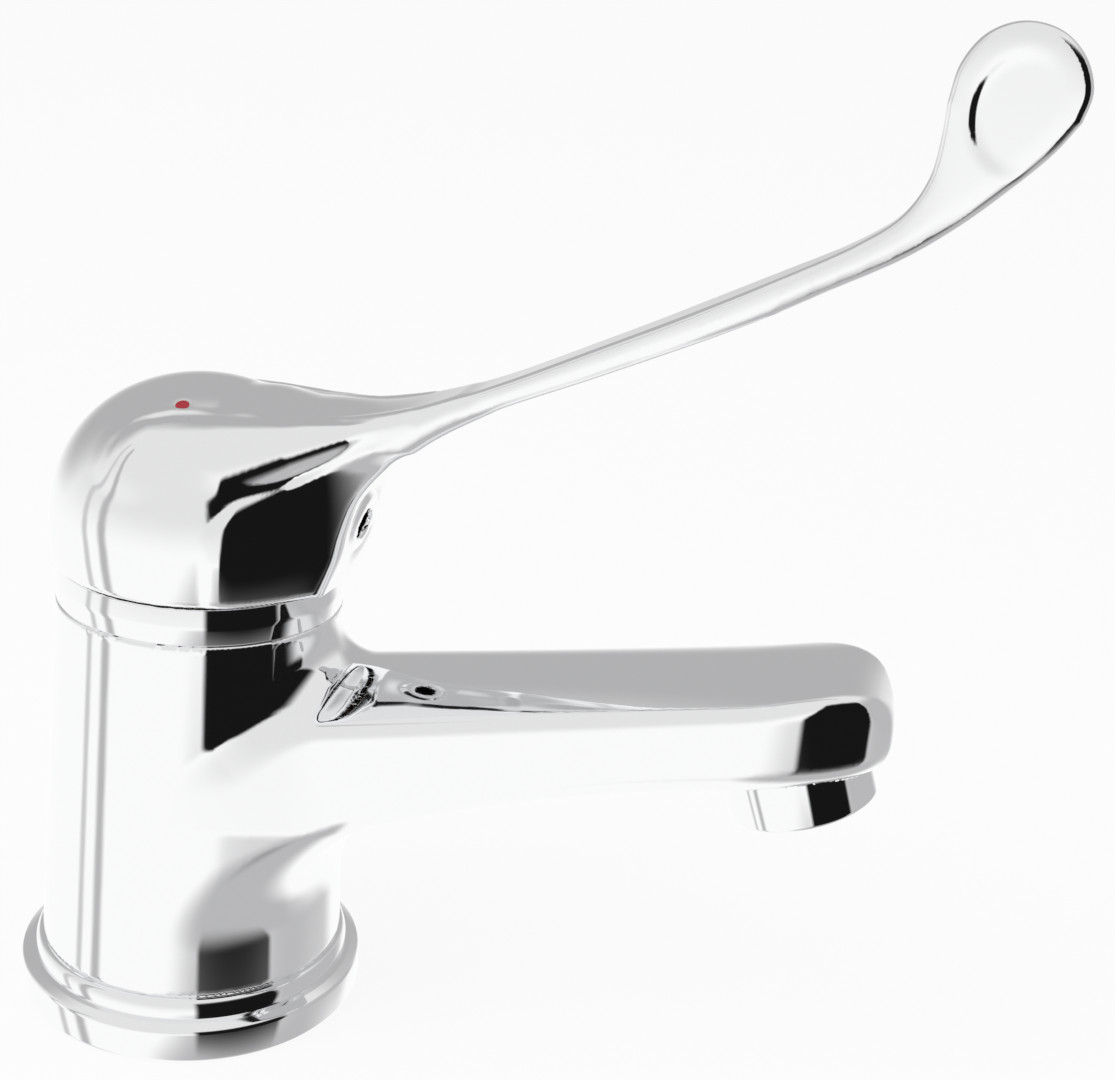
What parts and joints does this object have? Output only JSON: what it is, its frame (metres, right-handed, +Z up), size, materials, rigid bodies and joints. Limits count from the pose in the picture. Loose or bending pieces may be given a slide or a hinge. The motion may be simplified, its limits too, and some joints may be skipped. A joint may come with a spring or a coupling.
{
  "type": "elbow lever tap",
  "caption": "Single-lever basin mixer tap: tapered column with a rising spout and tilted aerator, domed cap with a long lever that ends in an upright elbow paddle.",
  "frame": {"origin": "middle of the base ring's underside, on the worktop", "axes": "+Z up, +X along the spout towards the user, +Y towards the cold side"},
  "size_m": [0.1608, 0.06, 0.1798],
  "materials": {
    "chrome_plate": "polished chrome plate on brass",
    "brass": "machined",
    "steel": "machined stainless",
    "rubber": "moulded",
    "ceramic": "lapped ceramic",
    "plastic_white": "moulded",
    "plastic_grey": "moulded",
    "plastic_red": "moulded",
    "plastic_blue": "moulded"
  },
  "bodies": {
    "fixed": {"base_ring": "chrome_plate", "base_seal": "rubber", "body_seal": "rubber", "body": "chrome_plate", "trim_ring": "chrome_plate", "cartridge_nut": "brass", "cartridge_housing": "plastic_white", "cartridge_base": "plastic_white", "port_seals": "rubber", "disc_seal": "rubber", "fixed_disc": "ceramic", "hot_limit_ring": "plastic_red", "aerator_housing": "chrome_plate", "aerator_seal": "rubber", "aerator_diffuser": "plastic_grey", "aerator_screen": "plastic_grey"},
    "carrier": {"stem_carrier": "plastic_grey", "pivot_pin": "steel", "carrier_seal": "rubber"},
    "slider": {"moving_disc": "ceramic", "disc_carriage": "plastic_grey"},
    "lever": {"stem": "brass", "handle": "chrome_plate", "grub_screw": "steel", "hot_mark": "plastic_red", "cold_mark": "plastic_blue"}
  },
  "joints": [
    {"name": "temperature_swivel", "type": "hinge", "parent": "fixed", "child": "carrier", "pos_m": [0, 0, 0.073], "axis": [0, 0, 1], "range_deg": [-50, 50]},
    {"name": "lever_lift", "type": "hinge", "parent": "carrier", "child": "lever", "pos_m": [0, 0, 0.073], "axis": [0, -1, 0], "range_deg": [0, 25]},
    {"name": "disc_slide", "type": "slide", "parent": "carrier", "child": "slider", "axis": [1, 0, 0], "range_m": [0, 0.00545]}
  ],
  "couplings": [
    {"joint": "disc_slide", "follows": "lever_lift", "m_per_rad": 0.012401}
  ]
}
